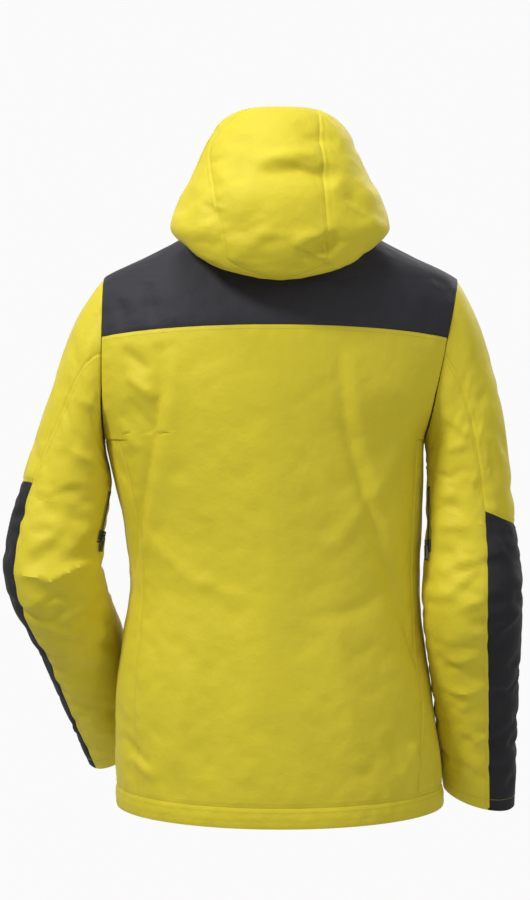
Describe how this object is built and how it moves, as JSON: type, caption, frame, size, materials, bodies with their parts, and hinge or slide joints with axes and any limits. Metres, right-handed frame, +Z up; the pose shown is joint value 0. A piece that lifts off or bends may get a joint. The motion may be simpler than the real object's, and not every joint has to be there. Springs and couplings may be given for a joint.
{
  "type": "ski jacket",
  "caption": "Hip-length insulated ski jacket, worn shape: two-tone shell with yoke, forearm guards, large hood, pit and hand-pocket zips, full front zip, lining and wadding.",
  "frame": {"origin": "middle of the hang loop, inside the collar at the centre back of the neck", "axes": "+Z up, the front faces -Y, +X is the wearer's left"},
  "size_m": [0.6459, 0.3614, 0.88],
  "materials": {
    "shell": "matt waterproof plain-weave shell",
    "yoke_cloth": "matt waterproof plain-weave shell, charcoal",
    "guard_cloth": "matt abrasion-resistant shell, near black",
    "insulation": "soft polyester wadding",
    "lining": "smooth lining taffeta",
    "fleece": "brushed tricot",
    "zip_tape": "woven zip tape with moulded teeth",
    "zip_metal": "black lacquered zinc",
    "pull": "matt moulded pull",
    "webbing": "woven tape"
  },
  "bodies": {
    "torso": {"back_panel": "shell", "back_yoke": "yoke_cloth", "left_side_panel": "shell", "right_side_panel": "shell", "left_front_panel": "shell", "right_front_panel": "shell", "left_front_yoke": "yoke_cloth", "right_front_yoke": "yoke_cloth", "hem_band": "shell", "powder_skirt": "lining", "torso_insulation": "insulation", "torso_lining": "lining", "collar": "shell", "collar_lining": "fleece", "hang_loop": "webbing", "left_front_zip_tape": "zip_tape", "right_front_zip_tape": "zip_tape", "front_zip_box": "zip_metal", "storm_flap": "shell", "chin_guard": "fleece", "left_pocket_zip": "zip_tape", "right_pocket_zip": "zip_tape", "left_pocket_bag": "lining", "right_pocket_bag": "lining"},
    "left_upper_sleeve": {"left_top_sleeve": "shell", "left_under_sleeve": "shell", "left_elbow_guard": "guard_cloth", "left_sleeve_insulation": "insulation", "left_sleeve_lining": "lining", "left_pit_zip": "zip_tape"},
    "left_forearm": {"left_forearm_guard": "guard_cloth", "left_forearm_sleeve": "shell", "left_cuff_facing": "lining", "left_forearm_insulation": "insulation", "left_forearm_lining": "lining"},
    "left_pit_slider_body": {"left_pit_slider": "zip_metal"},
    "left_pocket_slider_body": {"left_pocket_slider": "zip_metal"},
    "left_pocket_pull": {"left_pocket_puller": "pull"},
    "right_upper_sleeve": {"right_top_sleeve": "shell", "right_under_sleeve": "shell", "right_elbow_guard": "guard_cloth", "right_sleeve_insulation": "insulation", "right_sleeve_lining": "lining", "right_pit_zip": "zip_tape"},
    "right_forearm": {"right_forearm_guard": "guard_cloth", "right_forearm_sleeve": "shell", "right_cuff_facing": "lining", "right_forearm_insulation": "insulation", "right_forearm_lining": "lining"},
    "right_pit_slider_body": {"right_pit_slider": "zip_metal"},
    "right_pocket_slider_body": {"right_pocket_slider": "zip_metal"},
    "right_pocket_pull": {"right_pocket_puller": "pull"},
    "hood": {"hood_brim": "shell", "hood_center_panel": "shell", "hood_left_panel": "shell", "hood_right_panel": "shell", "hood_lining": "lining"},
    "front_slider_body": {"front_zip_slider": "zip_metal"},
    "front_pull": {"front_zip_puller": "pull"}
  },
  "joints": [
    {"name": "left_shoulder", "type": "hinge", "parent": "torso", "child": "left_upper_sleeve", "pos_m": [0.222, -0.075, -0.088], "axis": [0, -1, 0], "range_deg": [0, 25]},
    {"name": "right_shoulder", "type": "hinge", "parent": "torso", "child": "right_upper_sleeve", "pos_m": [-0.2244, -0.075, -0.087], "axis": [0, 1, 0], "range_deg": [0, 25]},
    {"name": "left_elbow", "type": "hinge", "parent": "left_upper_sleeve", "child": "left_forearm", "pos_m": [0.3074, -0.11842, -0.43671], "axis": [-0.9285, -0.3714, 0], "range_deg": [0, 30]},
    {"name": "right_elbow", "type": "hinge", "parent": "right_upper_sleeve", "child": "right_forearm", "pos_m": [-0.23527, -0.10757, -0.46933], "axis": [-0.9949, -0.0686, 0.0736], "range_deg": [0, 30]},
    {"name": "hood_fold", "type": "hinge", "parent": "torso", "child": "hood", "pos_m": [0, -0.105, 0.045], "axis": [1, 0, 0], "range_deg": [0, 60]},
    {"name": "front_zip_slide", "type": "slide", "parent": "torso", "child": "front_slider_body", "axis": [0, -0.0884, -0.9961], "range_m": [0, 0.7]},
    {"name": "front_pull_swing", "type": "hinge", "parent": "front_slider_body", "child": "front_pull", "pos_m": [0, -0.16918, 0.01498], "axis": [-1, 0, 0], "range_deg": [0, 150]},
    {"name": "left_pocket_zip_slide", "type": "slide", "parent": "torso", "child": "left_pocket_slider_body", "axis": [-0.0836, -0.1361, -0.9872], "range_m": [0, 0.13]},
    {"name": "left_pocket_pull_swing", "type": "hinge", "parent": "left_pocket_slider_body", "child": "left_pocket_pull", "pos_m": [0.179, -0.13955, -0.37832], "axis": [-0.6292, -0.761, 0.1582], "range_deg": [-33, 100]},
    {"name": "left_pit_zip_slide", "type": "slide", "parent": "left_upper_sleeve", "child": "left_pit_slider_body", "axis": [-0.1833, -0.2042, 0.9616], "range_m": [0, 0.035]},
    {"name": "right_pocket_zip_slide", "type": "slide", "parent": "torso", "child": "right_pocket_slider_body", "axis": [0.051, -0.1373, -0.9892], "range_m": [0, 0.13]},
    {"name": "right_pocket_pull_swing", "type": "hinge", "parent": "right_pocket_slider_body", "child": "right_pocket_pull", "pos_m": [-0.16012, -0.1369, -0.37788], "axis": [-0.6197, 0.7724, -0.1392], "range_deg": [-33, 100]},
    {"name": "right_pit_zip_slide", "type": "slide", "parent": "right_upper_sleeve", "child": "right_pit_slider_body", "axis": [-0.0074, -0.1989, 0.98], "range_m": [0, 0.035]}
  ]
}
